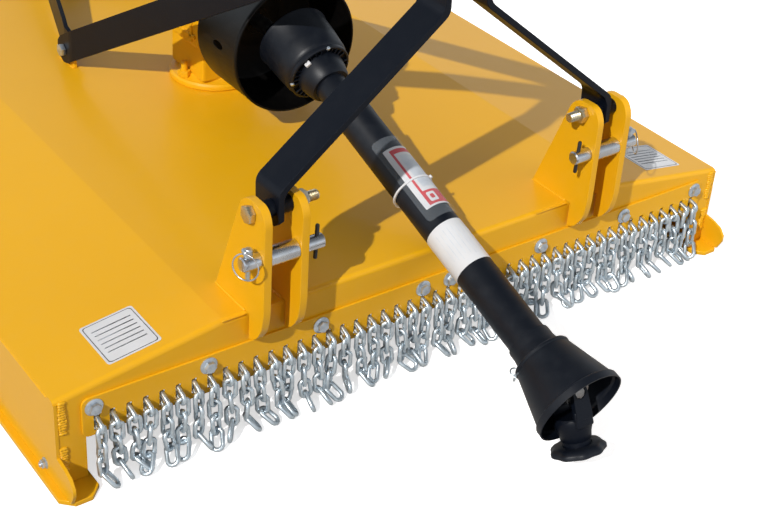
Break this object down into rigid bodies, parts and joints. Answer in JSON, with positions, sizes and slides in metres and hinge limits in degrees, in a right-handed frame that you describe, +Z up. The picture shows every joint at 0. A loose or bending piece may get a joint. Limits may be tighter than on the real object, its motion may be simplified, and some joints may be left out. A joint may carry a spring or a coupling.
{
  "type": "rotary brush cutter",
  "caption": "Single-spindle rotary brush cutter for a tractor's three-point hitch, with a chain guard at the front, a shielded telescoping driveline and a tail wheel.",
  "frame": {"origin": "on the ground, under the middle of the whole machine's box at rest", "axes": "+X across the machine, to the left-hand side seen from behind is -X; +Y from the tractor's end to the tail wheel; +Z up"},
  "size_m": [1.632, 2.6398, 0.945],
  "materials": {
    "yellow": "gloss yellow paint",
    "black": "satin black paint",
    "plastic": "black moulded plastic",
    "galvanised": "bright zinc on chain",
    "plated": "zinc plated",
    "steel": "plain steel",
    "rubber": "black rubber"
  },
  "bodies": {
    "deck": {"deck_pan": "yellow", "chain_guard_plate": "yellow", "side_band_left": "yellow", "side_band_right": "yellow", "skid_shoe_left": "yellow", "skid_shoe_right": "yellow", "hitch_lug_left_outer": "yellow", "hitch_lug_left_inner": "yellow", "hitch_lug_right_outer": "yellow", "hitch_lug_right_inner": "yellow", "mast_leg_left": "black", "mast_leg_right": "black", "mast_bolt_left": "plated", "mast_bolt_right": "plated", "mast_spacer_bolt": "plated", "rear_brace_left": "black", "rear_brace_right": "black", "brace_foot_plate_left": "yellow", "brace_foot_plate_right": "yellow", "brace_foot_bolt_left": "plated", "brace_foot_bolt_right": "plated", "gearbox_housing": "yellow", "gearbox_top_cover": "yellow", "input_shield": "plastic", "gearbox_yoke": "black", "tail_height_bracket": "yellow"},
    "chain_row": {"front_chains": "galvanised"},
    "hitch_pin_left": {"hitch_pin_left": "plated"},
    "hitch_sleeve_left": {"hitch_sleeve_left": "plated"},
    "linch_pin_left": {"linch_pin_left": "plated"},
    "linch_ring_left": {"linch_ring_left": "plated"},
    "hitch_pin_right": {"hitch_pin_right": "plated"},
    "hitch_sleeve_right": {"hitch_sleeve_right": "plated"},
    "linch_pin_right": {"linch_pin_right": "plated"},
    "linch_ring_right": {"linch_ring_right": "plated"},
    "top_pin": {"top_link_pin": "plated"},
    "top_clip": {"top_pin_clip": "plated"},
    "rotor": {"rotor_shaft": "steel", "blade_carrier": "black", "spindle_nut": "steel", "blade_bolt_left": "steel", "blade_bolt_right": "steel"},
    "input": {"input_shaft": "steel"},
    "blade_left": {"blade_left": "black"},
    "blade_right": {"blade_right": "black"},
    "gearbox_cross": {"gearbox_joint_cross": "steel"},
    "inner_drive": {"inner_drive_tube": "steel"},
    "inner_shield": {"driveline_bell": "plastic", "bell_bearing_collar": "plastic", "inner_shield_tube": "plastic"},
    "outer_drive": {"outer_drive_tube": "steel"},
    "outer_shield": {"outer_shield_tube": "plastic", "driveline_cone": "plastic"},
    "tractor_cross": {"tractor_joint_cross": "steel"},
    "tractor_end": {"tractor_yoke": "black"},
    "lock_collar": {"yoke_lock_collar": "black"},
    "tail_arms": {"tail_frame": "black"},
    "fork": {"caster_fork": "black"},
    "tail_wheel": {"tail_wheel_hub": "yellow", "tail_wheel_tyre": "rubber"}
  },
  "joints": [
    {"name": "chain_swing", "type": "hinge", "parent": "deck", "child": "chain_row", "pos_m": [0, -0.82576, 0.12707], "axis": [-1, 0, 0], "range_deg": [0, 24]},
    {"name": "hitch_pin_slide_left", "type": "slide", "parent": "deck", "child": "hitch_pin_left", "axis": [1, 0, 0], "range_m": [-0.0205, 0.0125]},
    {"name": "hitch_sleeve_spin_left", "type": "hinge", "parent": "deck", "child": "hitch_sleeve_left", "pos_m": [-0.385, -0.86306, 0.375], "axis": [1, 0, 0], "continuous": true},
    {"name": "linch_pin_slide_left", "type": "slide", "parent": "hitch_pin_left", "child": "linch_pin_left", "axis": [0, 0, 1], "range_m": [0, 0.06]},
    {"name": "linch_ring_hinge_left", "type": "hinge", "parent": "linch_pin_left", "child": "linch_ring_left", "pos_m": [-0.472, -0.86306, 0.406], "axis": [0, 1, 0], "range_deg": [0, 110]},
    {"name": "hitch_pin_slide_right", "type": "slide", "parent": "deck", "child": "hitch_pin_right", "axis": [-1, 0, 0], "range_m": [-0.0205, 0.0125]},
    {"name": "hitch_sleeve_spin_right", "type": "hinge", "parent": "deck", "child": "hitch_sleeve_right", "pos_m": [0.385, -0.86306, 0.375], "axis": [1, 0, 0], "continuous": true},
    {"name": "linch_pin_slide_right", "type": "slide", "parent": "hitch_pin_right", "child": "linch_pin_right", "axis": [0, 0, 1], "range_m": [0, 0.06]},
    {"name": "linch_ring_hinge_right", "type": "hinge", "parent": "linch_pin_right", "child": "linch_ring_right", "pos_m": [0.472, -0.86306, 0.406], "axis": [0, -1, 0], "range_deg": [0, 110]},
    {"name": "top_pin_slide", "type": "slide", "parent": "deck", "child": "top_pin", "axis": [1, 0, 0], "range_m": [-0.004, 0.0034]},
    {"name": "top_clip_slide", "type": "slide", "parent": "top_pin", "child": "top_clip", "axis": [0, 0, 1], "range_m": [0, 0.06]},
    {"name": "rotor_spin", "type": "hinge", "parent": "deck", "child": "rotor", "pos_m": [0, 0.03694, 0.11], "axis": [0, 0, 1], "continuous": true},
    {"name": "input_spin", "type": "hinge", "parent": "deck", "child": "input", "pos_m": [0, 0.03694, 0.448], "axis": [0, 1, 0], "continuous": true},
    {"name": "blade_swing_left", "type": "hinge", "parent": "rotor", "child": "blade_left", "pos_m": [-0.205, 0.03694, 0.11], "axis": [0, 0, 1], "range_deg": [-90, 90]},
    {"name": "blade_swing_right", "type": "hinge", "parent": "rotor", "child": "blade_right", "pos_m": [0.205, 0.03694, 0.11], "axis": [0, 0, 1], "range_deg": [-90, 90]},
    {"name": "driveline_yaw", "type": "hinge", "parent": "deck", "child": "gearbox_cross", "pos_m": [0, -0.34921, 0.448], "axis": [0, 0, 1], "range_deg": [-12, 12]},
    {"name": "driveline_pitch", "type": "hinge", "parent": "gearbox_cross", "child": "inner_drive", "pos_m": [0, -0.34921, 0.448], "axis": [-1, 0, 0], "range_deg": [0, 25]},
    {"name": "inner_shield_spin", "type": "hinge", "parent": "inner_drive", "child": "inner_shield", "pos_m": [0, -0.34921, 0.448], "axis": [0, -0.9489, -0.3156], "continuous": true},
    {"name": "driveline_slide", "type": "slide", "parent": "inner_drive", "child": "outer_drive", "axis": [0, -0.9489, -0.3156], "range_m": [-0.085, 0]},
    {"name": "outer_shield_spin", "type": "hinge", "parent": "outer_drive", "child": "outer_shield", "pos_m": [0, -0.34921, 0.448], "axis": [0, -0.9489, -0.3156], "continuous": true},
    {"name": "tractor_joint_pitch", "type": "hinge", "parent": "outer_drive", "child": "tractor_cross", "pos_m": [0, -1.22217, 0.1576], "axis": [-1, 0, 0], "range_deg": [0, 80]},
    {"name": "tractor_joint_yaw", "type": "hinge", "parent": "tractor_cross", "child": "tractor_end", "pos_m": [0, -1.22217, 0.1576], "axis": [0, -0.8942, 0.4478], "range_deg": [-12, 12]},
    {"name": "lock_collar_slide", "type": "slide", "parent": "tractor_end", "child": "lock_collar", "axis": [0, -0.4478, -0.8942], "range_m": [-0.007, 0]},
    {"name": "tail_height", "type": "hinge", "parent": "deck", "child": "tail_arms", "pos_m": [0, 0.23094, 0.282], "axis": [-1, 0, 0], "range_deg": [0, 6]},
    {"name": "caster_swivel", "type": "hinge", "parent": "tail_arms", "child": "fork", "pos_m": [0, 1.09494, 0.401], "axis": [0, 0, 1], "continuous": true},
    {"name": "tail_wheel_spin", "type": "hinge", "parent": "fork", "child": "tail_wheel", "pos_m": [0, 1.15494, 0.165], "axis": [1, 0, 0], "continuous": true}
  ],
  "couplings": [
    {"joint": "input_spin", "follows": "rotor_spin", "ratio": -1.4667}
  ]
}
